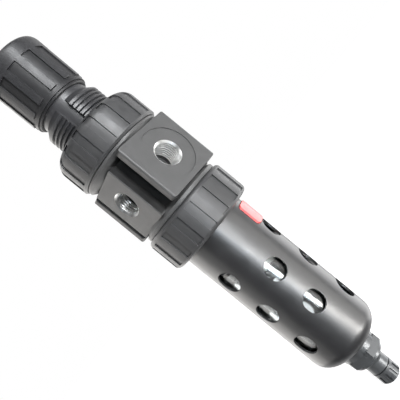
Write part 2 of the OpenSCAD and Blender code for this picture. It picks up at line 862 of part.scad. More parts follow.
module bowl_guard() {
    rows = guard_foot + hole_mid_h;
    color("#232325") difference() {
        rotate_extrude() difference() {
            union() {
                cup_outline(guard_r, dome_x, dome_z, guard_dome_r, guard_flange_foot + 0.5);
                translate([0, guard_flange_foot]) square([inner_flange_r, guard_wall]);
            }
            cup_outline(guard_in, dome_x, dome_z, guard_dome_r - guard_wall, bowl_flange_foot + 1);
            translate([0, guard_foot - 1]) square([foot_hole_r, 4]);
        }
        around(hole_columns / 2, column_turn) for (i = [-0.5, 0.5]) guard_hole(rows + i * hole_pitch);
        around(hole_columns / 2, column_turn + 360 / hole_columns)
            for (i = [-1, 0, 1]) guard_hole(rows + i * hole_pitch);
        rotate([0, 0, latch_turn]) translate([0, 0, latch_mid])
            latch_outline(latch_w + slack, latch_h + slack, 2);
    }
}

// Red tab: its face stands through the guard, its back flange and its
// springy tongue lie inside
module latch_tab() {
    tongue_top = guard_flange_foot - 1;
    back = latch_back_r - latch_rib_t;
    color("#d8262c") rotate([0, 0, latch_turn]) union() {
        intersection() {
            tube(latch_face_r, back, latch_mid - latch_h, latch_mid + latch_h);
            translate([0, 0, latch_mid]) latch_outline(latch_w - slack, latch_h - slack, 1.8);
        }
        intersection() {
            tube(latch_back_r, back, latch_mid - latch_h, tongue_top);
            union() {
                translate([0, 0, latch_mid])
                    latch_outline(latch_w + 2 * latch_skirt, latch_h + 2 * latch_skirt, 2);
                translate([0, -2.5, latch_mid]) cube([guard_r, 5, tongue_top - latch_mid]);
            }
        }
    }
}

// ---- drain ---------------------------------------------------------

module drain_gasket() {
    color("#8b8d90") tube(bowl_boss_r - 0.1, shank_r + run, drain_flange_top, bowl_boss_foot);
}

module drain_body() {
    rim = drain_af / 2;
    collar_r = rim - 0.5;
    collar_foot_z = hex_foot - hex_collar_h;
    color("#4a4d50") difference() {
        union() {
            rod(drain_flange_r, hex_top - eps, drain_flange_top);
            intersection() {
                rotate([0, 0, hex_turn]) hex_bar(drain_af, hex_foot, hex_top);
                taper(rim + 0.8, rim + 5.6, hex_foot, hex_top + 0.3);
            }
            rod(shank_r, hex_top, shank_top);
            rotate_extrude() polygon([
                [0, neck_foot], [drain_r, neck_foot], [drain_r, collar_foot_z - cove_h],
                [drain_r + 0.35, collar_foot_z - cove_h * 0.62],
                [drain_r + 1.05, collar_foot_z - cove_h * 0.34],
                [collar_r - 0.1, collar_foot_z], [collar_r, collar_foot_z + 0.2],
                [collar_r, hex_foot + eps], [0, hex_foot + eps],
            ]);
        }
        rod(drain_bore_r, neck_foot - 1, shank_top - 2);
        rod(drain_seat_r, shank_top - 3, shank_top + 1);
    }
}

module drain_seal() {
    color("#26262a") tube(3.4, pin_r + run, shank_top, shank_top + 1);
}

// Needle that lifts off the seat as the knob turns
module drain_stem() {
    color("#c9a256") union() {
        rod(pin_r, neck_foot, shank_top + 1);
        rod(3.4, shank_top + 1, shank_top + 2.2);
    }
}

module drain_knob() {
    bevel = 0.9;
    flute_w = 1.5;
    color("#3d4043") difference() {
        union() {
            rod(drain_bore_r - run, drain_knob_top - 1, neck_foot + 6);
            rod(drain_r, drain_foot + bevel, drain_knob_top);
            taper(drain_r - bevel, drain_r, drain_foot, drain_foot + bevel);
        }
        rod(2.6, drain_foot - 1, drain_knob_top - 1.4);
        rod(pin_r + run, drain_foot, neck_foot + 7);
        around(drain_flutes, flute_turn) translate([drain_r - 0.9, -flute_w / 2, drain_foot - 1])
            cube([3, flute_w, drain_knob_l - 0.6]);
    }
}

body_casting();
bonnet();
bonnet_ring();
slip_ring();
adjusting_knob();
detent_ring();
adjusting_screw();
thrust_washer();
spring_nut();
range_spring();
diaphragm_plate();
diaphragm();
relief_seat();
valve_seat();
poppet_disc();
valve_poppet();
valve_spring();
valve_carrier();
carrier_seal();
deflector();
filter_element();
baffle();
gauge_plug();
bowl();
bowl_seal();
bowl_guard();
bowl_ring();
latch_tab();
drain_gasket();
drain_body();
drain_stem();
drain_seal();
drain_knob();
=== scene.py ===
"""Looks of a compressed-air filter regulator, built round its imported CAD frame.

Everything is in metres in the CAD's own frame: +Z runs up the main axis, +X is
the outlet port and -Y the open gauge port. Sizes of a detail are written in
millimetres and multiplied by MM. Levels and radii come from the frame.
"""

import json
import math

import bmesh
import bpy
from mathutils import Matrix, Vector

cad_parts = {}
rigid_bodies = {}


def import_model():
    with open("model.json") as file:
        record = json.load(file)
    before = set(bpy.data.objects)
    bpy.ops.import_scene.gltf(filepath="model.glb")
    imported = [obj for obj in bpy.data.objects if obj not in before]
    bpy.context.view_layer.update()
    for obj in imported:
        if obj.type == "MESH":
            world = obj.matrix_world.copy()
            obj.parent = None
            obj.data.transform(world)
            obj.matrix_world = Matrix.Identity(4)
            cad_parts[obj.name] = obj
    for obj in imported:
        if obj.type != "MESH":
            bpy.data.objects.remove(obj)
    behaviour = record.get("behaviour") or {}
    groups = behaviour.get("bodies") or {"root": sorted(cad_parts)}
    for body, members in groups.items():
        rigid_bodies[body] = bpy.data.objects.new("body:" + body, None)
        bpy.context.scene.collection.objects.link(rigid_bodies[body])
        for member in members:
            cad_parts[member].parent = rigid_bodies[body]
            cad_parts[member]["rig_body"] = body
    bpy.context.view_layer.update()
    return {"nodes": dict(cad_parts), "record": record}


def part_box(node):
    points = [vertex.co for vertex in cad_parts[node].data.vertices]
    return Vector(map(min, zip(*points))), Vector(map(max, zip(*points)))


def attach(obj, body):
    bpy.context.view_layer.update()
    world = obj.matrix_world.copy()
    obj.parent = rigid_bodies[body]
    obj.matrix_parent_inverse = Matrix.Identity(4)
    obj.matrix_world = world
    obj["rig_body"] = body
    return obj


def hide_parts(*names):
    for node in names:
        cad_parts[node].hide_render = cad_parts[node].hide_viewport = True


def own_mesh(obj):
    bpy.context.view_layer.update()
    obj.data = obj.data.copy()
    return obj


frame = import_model()

MM = 0.001
TURN = 2 * math.pi
NODES = frame["nodes"]
SLOT_OF = {part["node"]: part["material_slot"] for part in frame["record"]["subparts"]}
MOUNTS = {mount["name"]: mount for mount in frame["record"]["mounts"]}
PORT_LEVEL = MOUNTS["outlet_port"]["pos_m"][2]


def levels(node):
    """Lowest and highest level of a CAD node."""
    low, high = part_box(node)
    return low.z, high.z


def radius(node):
    """Largest reach of a round CAD node from the main axis."""
    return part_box(node)[1].x


def polar(reach, angle):
    """The x and y of a point at `reach` from the axis."""
    return reach * math.cos(angle), reach * math.sin(angle)


# ---- shader nodes ----------------------------------------------------


def own_frame(tree):
    """Place of a surface point in its piece's own frame, in metres."""
    return tree.nodes.new("ShaderNodeTexCoord").outputs["Object"]


def on_vector(tree, operation, vector, other=None):
    """Vector Math node on a socket and, for most operations, a plain vector."""
    node = tree.nodes.new("ShaderNodeVectorMath")
    node.operation = operation
    tree.links.new(vector, node.inputs[0])
    if other is not None:
        node.inputs[1].default_value = other
    return node


def joined(tree, operation, first, second):
    """Math node on two sockets."""
    node = tree.nodes.new("ShaderNodeMath")
    node.operation = operation
    tree.links.new(first, node.inputs[0])
    tree.links.new(second, node.inputs[1])
    return node.outputs[0]


def remap(tree, value, low, high, new_low, new_high):
    """Value moved from one range to another, and kept inside it."""
    node = tree.nodes.new("ShaderNodeMapRange")
    for socket, number in zip(node.inputs[1:5], (low, high, new_low, new_high)):
        socket.default_value = number
    tree.links.new(value, node.inputs["Value"])
    return node.outputs["Result"]


def mixed(tree, factor, first, second):
    """Colour between two colours, which are sockets or plain colours."""
    node = tree.nodes.new("ShaderNodeMix")
    node.data_type = "RGBA"
    tree.links.new(factor, node.inputs["Factor"])
    for socket, colour in ((node.inputs[6], first), (node.inputs[7], second)):
        if isinstance(colour, bpy.types.NodeSocket):
            tree.links.new(colour, socket)
        else:
            socket.default_value = (*colour, 1)
    return node.outputs[2]


def blended(tree, factor, first, second):
    """Shader between two shaders."""
    node = tree.nodes.new("ShaderNodeMixShader")
    for socket, source in zip(node.inputs, (factor, first, second)):
        tree.links.new(source, socket)
    return node.outputs[0]


def noise(tree, size, stretch=(1, 1, 1), detail=3.0):
    """Noise whose patches measure `size` metres, in the piece's own frame."""
    mapping = tree.nodes.new("ShaderNodeMapping")
    mapping.inputs["Scale"].default_value = stretch
    texture = tree.nodes.new("ShaderNodeTexNoise")
    texture.inputs["Scale"].default_value = 1 / size
    texture.inputs["Detail"].default_value = detail
    tree.links.new(own_frame(tree), mapping.inputs["Vector"])
    tree.links.new(mapping.outputs["Vector"], texture.inputs["Vector"])
    return texture.outputs["Fac"]


def bumped(tree, height, depth):
    """Normal tilted by a height texture `depth` metres deep."""
    node = tree.nodes.new("ShaderNodeBump")
    node.inputs["Distance"].default_value = depth
    tree.links.new(height, node.inputs["Height"])
    return node.outputs["Normal"]


def outward_from_axis(tree):
    """Distance of a surface point from the main axis, in metres."""
    flat = on_vector(tree, "MULTIPLY", own_frame(tree), (1, 1, 0))
    return on_vector(tree, "LENGTH", flat.outputs["Vector"]).outputs["Value"]


# ---- materials -------------------------------------------------------


def new_material(name):
    """Material with nodes, its node tree and its shader."""
    material = bpy.data.materials.new(name)
    material.use_nodes = True
    tree = material.node_tree
    return material, tree, tree.nodes["Principled BSDF"]


def finish(name, colour, roughness, tint=0.12, patch=5.0, grain=0.3, depth=0.01,
           spread=0.06, stretch=(1, 1, 1), **constants):
    """Material with patchy colour, patchy gloss and a fine surface grain.

    tint and spread are how far colour and roughness stray; patch, grain and
    depth are in millimetres; stretch draws the grain out along an axis, as
    turning does; constants go on the shader's own sockets.
    """
    material, tree, shader = new_material(name)
    for socket, value in constants.items():
        shader.inputs[socket.replace("_", " ")].default_value = value
    patches = noise(tree, patch * MM)
    fine = noise(tree, grain * MM, stretch, 2.0)
    # the patches sway the colour half the way and the grain the other half
    both = tree.nodes.new("ShaderNodeMath")
    both.operation = "MULTIPLY_ADD"
    both.inputs[1].default_value = 0.5
    tree.links.new(patches, both.inputs[0])
    tree.links.new(remap(tree, fine, 0.3, 0.7, 0.0, 0.5), both.inputs[2])
    dark = [c * (1 - tint) for c in colour]
    light = [min(1.0, c * (1 + tint)) for c in colour]
    tree.links.new(mixed(tree, both.outputs[0], dark, light), shader.inputs["Base Color"])
    rough = remap(tree, patches, 0.3, 0.7, roughness - spread, roughness + spread)
    tree.links.new(rough, shader.inputs["Roughness"])
    tree.links.new(bumped(tree, fine, depth * MM), shader.inputs["Normal"])
    return material


def repaint(material, where, colour):
    """Lets another colour, or colour socket, take over where `where` is 1."""
    tree = material.node_tree
    base = tree.nodes["Principled BSDF"].inputs["Base Color"]
    tree.links.new(mixed(tree, where, base.links[0].from_socket, colour), base)


def metal(name, colour, roughness, stretch=(1, 1, 1)):
    """Bare or plated metal with fine tool marks."""
    return finish(name, colour, roughness, tint=0.08, patch=4.0, grain=0.15, depth=0.004,
                  stretch=stretch, Metallic=1.0)


def porous(name):
    """Sintered beads: rounded grains, with painted shade darkening the pores between them."""
    bead = 0.5 * MM
    material = finish(name, (0.84, 0.83, 0.78), 0.75, grain=0.25, depth=0.04)
    tree = material.node_tree
    beads = tree.nodes.new("ShaderNodeTexVoronoi")
    beads.inputs["Scale"].default_value = 1 / bead
    tree.links.new(own_frame(tree), beads.inputs["Vector"])
    from_centre = beads.outputs["Distance"]
    # painted shade: the colour darkens towards the beads' edges, in the pores
    repaint(material, remap(tree, from_centre, 0.35, 0.75, 0.0, 1.0), (0.5, 0.49, 0.45))
    height = remap(tree, from_centre, 0.0, 0.8, 1.0, 0.0)
    shader = tree.nodes["Principled BSDF"]
    tree.links.new(bumped(tree, height, 0.1 * MM), shader.inputs["Normal"])
    return material


def cast_paint(name):
    """Dark grey casting paint, with painted shade: near-black in the recesses beside the port
    flanges, where shade falls.
    """
    material = finish(name, (0.058, 0.0577, 0.0577), 0.44, tint=0.1, grain=0.35, depth=0.012)
    tree = material.node_tree
    from_ports = on_vector(tree, "SUBTRACT", own_frame(tree), (0, 0, PORT_LEVEL))
    apart = on_vector(tree, "ABSOLUTE", from_ports.outputs["Vector"])
    split = tree.nodes.new("ShaderNodeSeparateXYZ")
    tree.links.new(apart.outputs["Vector"], split.inputs[0])
    past_pad = remap(tree, split.outputs["X"], 12.0 * MM, 12.15 * MM, 0.0, 1.0)
    before_flange = remap(tree, split.outputs["X"], 19.4 * MM, 19.6 * MM, 1.0, 0.0)
    beside = remap(tree, split.outputs["Z"], 15.6 * MM, 16.4 * MM, 1.0, 0.0)
    between = joined(tree, "MULTIPLY", past_pad, before_flange)
    # painted shade: the recess between the gauge pad's side and the port flange is coloured
    # near-black
    repaint(material, joined(tree, "MULTIPLY", between, beside), (0.005, 0.005, 0.005))
    return material


def knob_plastic(name):
    """Moulded black with a matt spark-eroded texture on its raised ribs only; the ribs' lighter
    speckled colour is partly the texture's own grey and partly painted sheen.
    """
    rib_start, rib_full = 17.2 * MM, 17.4 * MM
    material = finish(name, (0.015, 0.015, 0.016), 0.44, tint=0.15, grain=0.45, depth=0.012,
                      Specular_IOR_Level=0.42)
    tree = material.node_tree
    raised = remap(tree, outward_from_axis(tree), rib_start, rib_full, 0.0, 1.0)
    speckle = remap(tree, noise(tree, 0.35 * MM, detail=1.0), 0.35, 0.65, 0.0, 1.0)
    # painted sheen: the ribs are coloured lighter than the recesses, partly the spark-eroded
    # texture's own grey
    repaint(material, raised, mixed(tree, speckle, (0.014, 0.014, 0.015), (0.036, 0.036, 0.038)))
    gloss = tree.nodes["Principled BSDF"].inputs["Roughness"]
    smoother = remap(tree, raised, 0, 1, 0.0, -0.04)
    tree.links.new(joined(tree, "ADD", gloss.links[0].from_socket, smoother), gloss)
    return material


TURNED = (0.25, 0.25, 8)  # tool marks run round the axis

# One material for each of the record's slots
MATERIALS = {
    "cast_paint": cast_paint("cast_paint"),
    "ring_plastic": finish("ring_plastic", (0.038, 0.038, 0.039), 0.4, tint=0.12, grain=0.4,
                           depth=0.014),
    "black_acetal": finish("black_acetal", (0.028, 0.028, 0.03), 0.38, tint=0.1, grain=0.5,
                           depth=0.006, Specular_IOR_Level=0.65),
    "white_acetal": finish("white_acetal", (0.78, 0.76, 0.69), 0.4, tint=0.05),
    "guard_paint": finish("guard_paint", (0.018, 0.018, 0.019), 0.34, tint=0.15, grain=0.6,
                          depth=0.004, spread=0.03, Specular_IOR_Level=1.0),
    "clear_bowl": finish("clear_bowl", (0.93, 0.96, 0.97), 0.1, tint=0.03, grain=2.0,
                         depth=0.002, spread=0.02, Transmission_Weight=1.0, IOR=1.58),
    "porous_filter": porous("porous_filter"),
    "spring_steel": metal("spring_steel", (0.4, 0.41, 0.43), 0.34),
    "zinc_steel": metal("zinc_steel", (0.6, 0.62, 0.64), 0.3, TURNED),
    "aluminium": metal("aluminium", (0.72, 0.73, 0.75), 0.28, TURNED),
    "brass": metal("brass", (0.72, 0.55, 0.27), 0.27, TURNED),
    "rubber": finish("rubber", (0.028, 0.028, 0.03), 0.62, tint=0.15, grain=0.2, depth=0.008),
    "rubber_grey": finish("rubber_grey", (0.4, 0.41, 0.42), 0.7, tint=0.12, grain=0.2,
                          depth=0.02),
    "red_plastic": finish("red_plastic", (0.8, 0.16, 0.16), 0.35, tint=0.06, grain=0.3,
                          depth=0.006),
    "drain_metal": finish("drain_metal", (0.1, 0.104, 0.108), 0.32, tint=0.12, grain=0.2,
                          depth=0.005, stretch=TURNED, Metallic=0.6),
}
for node, slot in SLOT_OF.items():
    NODES[node].data.materials.clear()
    NODES[node].data.materials.append(MATERIALS[slot])
bare_metal = metal("bare_metal", (0.8, 0.8, 0.79), 0.36)  # tapped ports, masked from the paint


# ---- mesh helpers ----------------------------------------------------


def plain_object(name, points, faces):
    """Object made of points and faces, linked to the scene."""
    mesh = bpy.data.meshes.new(name)
    mesh.from_pydata(points, [], faces)
    made = bpy.data.objects.new(name, mesh)
    bpy.context.scene.collection.objects.link(made)
    return made


def closed(points, faces, name):
    """Object whose faces are turned to look outward."""
    made = plain_object(name, points, faces)
    work = bmesh.new()
    work.from_mesh(made.data)
    bmesh.ops.recalc_face_normals(work, faces=work.faces)
    work.to_mesh(made.data)
    work.free()
    return made


def wall_faces(rows, around):
    """Quads of a wall of closed rows of points, from each row to the next."""
    return [(i * around + j, i * around + (j + 1) % around,
             after * around + (j + 1) % around, after * around + j)
            for i, after in rows for j in range(around)]


def turned(name, profile, steps=96):
    """Ring-shaped solid that a closed outline of (radius, level) sweeps."""
    points = [(*polar(r, i * TURN / steps), z) for i in range(steps) for r, z in profile]
    rows = [(i, (i + 1) % steps) for i in range(steps)]
    return closed(points, wall_faces(rows, len(profile)), name)


def extruded(name, outline, foot, top):
    """Prism over an outline of (x, y) between two levels."""
    count = len(outline)
    points = [(x, y, level) for level in (foot, top) for x, y in outline]
    faces = [tuple(range(count)), tuple(range(count, 2 * count))]
    faces += [(j, (j + 1) % count, count + (j + 1) % count, count + j) for j in range(count)]
    return closed(points, faces, name)


def swept(name, spots, section):
    """Solid whose cross-section follows the frames in `spots`.

    A spot is a centre with its outward and upward directions; the section's
    points are (outward, upward).
    """
    points = [centre + outward * x + upward * y
              for centre, outward, upward in spots for x, y in section]
    count = len(section)
    last = len(spots) - 1
    faces = wall_faces([(i, i + 1) for i in range(last)], count)
    faces.append(tuple(reversed(range(count))))
    faces.append(tuple(last * count + j for j in range(count)))
    return closed(points, faces, name)


def helix(foot, top, pitch, steps=64):
    """Spots of a right-hand helix about +Z between two levels."""
    spots = []
    for i in range(round((top - foot) / pitch * steps) + 1):
        outward = Vector((*polar(1, i * TURN / steps), 0))
        spots.append((Vector((0, 0, foot + i * pitch / steps)), outward, Vector((0, 0, 1))))
    return spots


def groove(name, crest, root, foot, top, pitch, flat=0.3, place=Matrix()):
    """Cutter for a screw thread's groove: a V with a narrow floor at `root`.

    flat is the floor's part of the pitch. The groove faces away from the
    metal: root < crest cuts an outside thread, root > crest an inside one. A
    mirroring place makes the thread left-hand.
    """
    mouth = pitch * 0.42
    floor = pitch * flat / 2
    past = crest + (crest - root) * 0.3
    section = [(past, mouth), (past, -mouth), (root, -floor), (root, floor)]
    cutter = swept(name, helix(foot, top, pitch), section)
    cutter.data.transform(place)
    if place.determinant() < 0:
        cutter.data.flip_normals()
    return cutter


def along(direction, level):
    """Place that lays the Z axis out from the main axis along `direction`."""
    turn = Vector(direction).to_track_quat("Z", "Y").to_matrix().to_4x4()
    return Matrix.Translation((0, 0, level)) @ turn


def apply_modifiers(piece):
    """Gives a piece the mesh that its modifiers make."""
    bpy.context.view_layer.update()
    graph = bpy.context.evaluated_depsgraph_get()
    mesh = bpy.data.meshes.new_from_object(piece.evaluated_get(graph))
    piece.modifiers.clear()
    old = piece.data
    piece.data = mesh
    bpy.data.meshes.remove(old)


def carve(piece, *cutters):
    """Cuts solids out of a piece and throws them away."""
    for cutter in cutters:
        cut = piece.modifiers.new("cut", "BOOLEAN")
        cut.operation = "DIFFERENCE"
        cut.solver = "EXACT"
        cut.object = cutter
    apply_modifiers(piece)
    for cutter in cutters:
        mesh = cutter.data
        bpy.data.objects.remove(cutter)
        bpy.data.meshes.remove(mesh)


def soften(piece, width, angle=28):
    """Rounds every edge of more than `angle` degrees to about `width` metres."""
    bevel = piece.modifiers.new("edges", "BEVEL")
    bevel.width = width
    bevel.segments = 2
    bevel.limit_method = "ANGLE"
    bevel.angle_limit = math.radians(angle)
    bevel.use_clamp_overlap = True
    apply_modifiers(piece)


def shade(mesh, sharp=32):
    """Smooth shading, with edges of more than `sharp` degrees left sharp."""
    mesh.polygons.foreach_set("use_smooth", [True] * len(mesh.polygons))
    mesh.set_sharp_from_angle(angle=math.radians(sharp))


def polish(piece):
    """Smooth shading that broad faces lead, so narrow rounded edges blend in."""
    shade(piece.data)
    weighted = piece.modifiers.new("normals", "WEIGHTED_NORMAL")
    weighted.mode = "FACE_AREA"
    weighted.weight = 50
    weighted.keep_sharp = True
    apply_modifiers(piece)


# ---- pieces that stand in a CAD node's place ---------------------------


def copy_of(node):
    """New piece with a CAD node's shape and finish, in the node's place."""
    source = NODES[node]
    mesh = source.data.copy()
    mesh.name = node + "_look"
    if "custom_normal" in mesh.attributes:
        mesh.attributes.remove(mesh.attributes["custom_normal"])
    work = bmesh.new()
    work.from_mesh(mesh)
    bmesh.ops.remove_doubles(work, verts=work.verts, dist=0.002 * MM)
    bmesh.ops.dissolve_limit(work, angle_limit=math.radians(0.5), verts=work.verts,
                             edges=work.edges)
    work.to_mesh(mesh)
    work.free()
    piece = bpy.data.objects.new(node + "_look", mesh)
    bpy.context.scene.collection.objects.link(piece)
    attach(piece, source["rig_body"])
    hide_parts(node)
    return piece


def rounded(node, width, angle=28):
    """Copy of a moulded, cast or turned node, its edges rounded; width in MM."""
    piece = copy_of(node)
    soften(piece, width * MM, angle)
    return piece


def as_node(made, node):
    """Puts a newly made piece in a CAD node's place."""
    made.name = made.data.name = node + "_look"
    made.data.materials.clear()
    made.data.materials.append(MATERIALS[SLOT_OF[node]])
    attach(made, NODES[node]["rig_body"])
    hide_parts(node)
    return made


# ---- bonnet: panel thread with a keyway on each side -------------------

KEYWAY_W = 6.6 * MM
KEYWAY_TURN = math.radians(-38.3)
KEYWAY_FOOT, KEYWAY_TOP = 0.05 * MM, 16 * MM
PANEL_PITCH = 2.31 * MM
PANEL_START = -0.115 * MM  # turns the groove's end to where the photograph shows it
PANEL_TURNS = 4.44
THREAD_R = MOUNTS["panel_mount"]["dims"]["r_mm"] * MM
THREAD_H = MOUNTS["panel_mount"]["dims"]["length_mm"] * MM
NECK_R = 14.65 * MM
LEAD_TOP = THREAD_H + 3.5 * MM
CHAMBER_R, CHAMBER_ROOF = 12.8 * MM, 4.5 * MM  # the roof is measured from the bonnet's top
JOURNAL_R = 4.55 * MM
BONNET_FOOT, BONNET_TOP = levels("bonnet")
FLANGE_R = radius("bonnet")
FLANGE_TOP = BONNET_FOOT + 3.6 * MM


def detent(level):
    """Outline of a detent groove in the neck, met on the way up."""
    deep, half_w = 0.35 * MM, 0.48 * MM
    return [(NECK_R - deep * math.sin(a), level - half_w * math.cos(a))
            for a in (math.pi * i / 6 for i in range(7))]


def keyway(side):
    """Cutter for one keyway, whose floor lies on the neck's surface."""
    half = KEYWAY_W / 2
    lean = math.asin(half / NECK_R)
    floor_arc = [polar(NECK_R, lean * i / 6) for i in range(-6, 7)]
    past_thread = 19 * MM
    outline = floor_arc + [(past_thread, half), (past_thread, -half)]
    cutter = extruded("keyway", outline, KEYWAY_FOOT, KEYWAY_TOP)
    cutter.data.transform(Matrix.Rotation(KEYWAY_TURN + side, 4, "Z"))
    return cutter


def vent():
    """Cutter for the small vent hole through the neck, above the thread."""
    hole_r, inner, outer = 0.9 * MM, 12 * MM, 16 * MM
    core = 0.001 * MM  # a sliver at the axis, so that the outline stays closed
    cutter = turned("vent", [(core, inner), (hole_r, inner), (hole_r, outer), (core, outer)], 24)
    cutter.data.transform(Matrix.Translation((0, 0, LEAD_TOP + 1.2 * MM))
                          @ Matrix.Rotation(math.radians(142), 4, "Z")
                          @ Matrix.Rotation(math.pi / 2, 4, "Y"))
    return cutter


def make_bonnet():
    """Bonnet with its threaded, keyed collar, detent grooves, chamber and vent."""
    chamber_roof = BONNET_TOP - CHAMBER_ROOF
    bonnet = turned("bonnet", [
        (FLANGE_R, BONNET_FOOT), (FLANGE_R, FLANGE_TOP - 0.2 * MM),
        (FLANGE_R - 0.2 * MM, FLANGE_TOP), (THREAD_R - 0.3 * MM, FLANGE_TOP),
        (THREAD_R - 0.3 * MM, 0), (THREAD_R - 0.1 * MM, 0),
        (THREAD_R, 0.1 * MM), (THREAD_R, THREAD_H), (NECK_R, LEAD_TOP),
        *detent(18.5 * MM), *detent(21.5 * MM),
        (NECK_R, BONNET_TOP - 0.8 * MM), (NECK_R - 0.8 * MM, BONNET_TOP),
        (JOURNAL_R, BONNET_TOP), (JOURNAL_R, chamber_roof), (CHAMBER_R, chamber_roof),
        (CHAMBER_R, FLANGE_TOP), (17.5 * MM, BONNET_FOOT)], steps=144)
    carve(bonnet, keyway(0), keyway(math.pi))
    top = PANEL_TURNS * PANEL_PITCH + PANEL_START
    carve(bonnet, groove("panel_groove", THREAD_R, THREAD_R - 1.2 * MM, PANEL_START, top,
                         PANEL_PITCH, flat=0.35))
    carve(bonnet, vent())
    as_node(bonnet, "bonnet")
    polish(bonnet)


# ---- knob, rings, drain and latch: moulded edges -----------------------

EDGES = {"bonnet_ring": 0.35, "bowl_ring": 0.35, "drain_body": 0.25, "drain_knob": 0.25,
         "latch_tab": 0.25}


def make_moulded():
    """Copies of the moulded and turned nodes with rounded edges."""
    knob = rounded("adjusting_knob", 0.3)
    polish(knob)
    knob.data.materials.clear()
    knob.data.materials.append(knob_plastic("knob_plastic"))
    for node, width in EDGES.items():
        polish(rounded(node, width))


# ---- bowl guard: drilled steel tube with a rolled foot -----------------

GUARD_R, GUARD_WALL = 20 * MM, 1.2 * MM
GUARD_FOOT, GUARD_TOP = levels("bowl_guard")
GUARD_BEND, FOOT_HOLE_R = 8.5 * MM, 10.7 * MM
HOLE_W, HOLE_H, HOLE_CORNER = 10.4 * MM, 11.8 * MM, 5.15 * MM
HOLE_COLUMNS, HOLE_START = 6, -25.5  # degrees
HOLE_MIDDLE, HOLE_PITCH = 44.4 * MM, 23.2 * MM
LATCH_W, LATCH_H, LATCH_CORNER = 10.8 * MM, 13.5 * MM, 2 * MM
LATCH_TURN, LATCH_DROP = 29, 12.7 * MM


def window(name, width, height, corner, azimuth, level, steps=10):
    """Cutter for an opening with round corners in the guard's wall."""
    inner, outer = 14 * MM, 24 * MM
    outline = []
    for i in range(4 * (steps + 1)):
        quarter, step = divmod(i, steps + 1)
        angle = math.pi / 2 * (quarter + step / steps)
        across = (width / 2 - corner) * (1 if quarter in (0, 3) else -1)
        upward = (height / 2 - corner) * (1 if quarter in (0, 1) else -1)
        outline.append((across + corner * math.cos(angle), upward + corner * math.sin(angle)))
    cutter = extruded(name, outline, inner, outer)
    upright = Matrix(((0, 0, 1, 0), (1, 0, 0, 0), (0, 1, 0, 0), (0, 0, 0, 1)))
    turn = Matrix.Rotation(math.radians(azimuth), 4, "Z")
    cutter.data.transform(Matrix.Translation((0, 0, level)) @ turn @ upright)
    return cutter


def make_guard():
    """Guard with a rolled foot, five holes to each pair of columns and the latch's slot."""
    rim_r = radius("bowl_guard")
    rim_foot = GUARD_TOP - GUARD_WALL
    bend_x, bend_z = GUARD_R - GUARD_BEND, GUARD_FOOT + GUARD_BEND
    inner_bend = GUARD_BEND - GUARD_WALL
    quarter = [math.pi / 2 * i / 12 for i in range(13)]
    guard = turned("bowl_guard", [
        (FOOT_HOLE_R, GUARD_FOOT),
        *((bend_x + GUARD_BEND * math.sin(a), bend_z - GUARD_BEND * math.cos(a)) for a in quarter),
        (GUARD_R, rim_foot), (rim_r, rim_foot), (rim_r, GUARD_TOP),
        (GUARD_R - GUARD_WALL, GUARD_TOP),
        *((bend_x + inner_bend * math.cos(a), bend_z - inner_bend * math.sin(a)) for a in quarter),
        (FOOT_HOLE_R, GUARD_FOOT + GUARD_WALL)], steps=180)
    windows = [window("latch", LATCH_W, LATCH_H, LATCH_CORNER, LATCH_TURN, rim_foot - LATCH_DROP)]
    for column in range(HOLE_COLUMNS):
        azimuth = HOLE_START + 360 / HOLE_COLUMNS * column
        for row in (-1, 0, 1) if column % 2 else (-0.5, 0.5):
            level = GUARD_FOOT + HOLE_MIDDLE + row * HOLE_PITCH
            windows.append(window("hole", HOLE_W, HOLE_H, HOLE_CORNER, azimuth, level))
    carve(guard, *windows)
    soften(guard, 0.25 * MM)
    as_node(guard, "bowl_guard")
    polish(guard)


# ---- casting: rounded edges, tapped ports and spigot threads -----------

PORT_PITCH = 25.4 * MM / 18
PORT_CREST = 5.95 * MM
PORT_MOUTH = 7 * MM
PORT_THREAD = 0.32 * MM
STEP_R, STEP_DEPTH = 13.75 * MM, 0.5 * MM
SPIGOT_R, SPIGOT_THREAD, SPIGOT_PITCH = 23.2 * MM, 1.1 * MM, 3 * MM
SPIGOTS = (("upper_spigot", -18.6, -9.2), ("lower_spigot", -69.2, -60.4))


def thread_depth(phase):
    """Part of the full depth at a part of the pitch: a V with a flat root."""
    return min(1, max(0, 1.35 - abs(phase - 0.5) * 4.4))


def tapped(name, direction, face, depth, around=96, steps=10):
    """Bare-metal wall of a tapped port: its thread and the chamfer at its mouth.

    The wall is closed behind, inside the casting, at the mouth's radius.
    """
    rows = round(depth / PORT_PITCH * steps)
    points = []
    for i in range(rows + 1):
        level = depth * i / rows
        for j in range(around):
            phase = (level / PORT_PITCH - j / around) % 1
            reach = PORT_CREST + PORT_THREAD * thread_depth(phase)
            reach = max(reach, PORT_MOUTH - (depth - level))
            points.append((*polar(reach, j * TURN / around), level))
    for level in (depth, 0):
        points += [(*polar(PORT_MOUTH, j * TURN / around), level) for j in range(around)]
    rings = rows + 3
    wall = closed(points, wall_faces([(i, (i + 1) % rings) for i in range(rings)], around), name)
    wall.data.transform(along(direction, PORT_LEVEL) @ Matrix.Translation((0, 0, face - depth)))
    wall.data.materials.append(bare_metal)
    shade(wall.data, 40)
    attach(wall, NODES["body_casting"]["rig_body"])


def open_port(mount):
    """Tapped liner for a port, and the cutter for the bore that it lies in."""
    length = mount["dims"]["length_mm"] * MM
    direction = Vector(mount["axis"])
    face = Vector(mount["pos_m"]).dot(direction) + length / 2 + PORT_MOUTH - PORT_CREST
    depth = length - MM
    tapped(mount["name"] + "_thread", direction, face, depth)
    bore = turned("bore", [(MM, face - depth), (PORT_MOUTH, face - depth),
                           (PORT_MOUTH, face + MM), (MM, face + MM)])
    bore.data.transform(along(direction, PORT_LEVEL))
    return bore


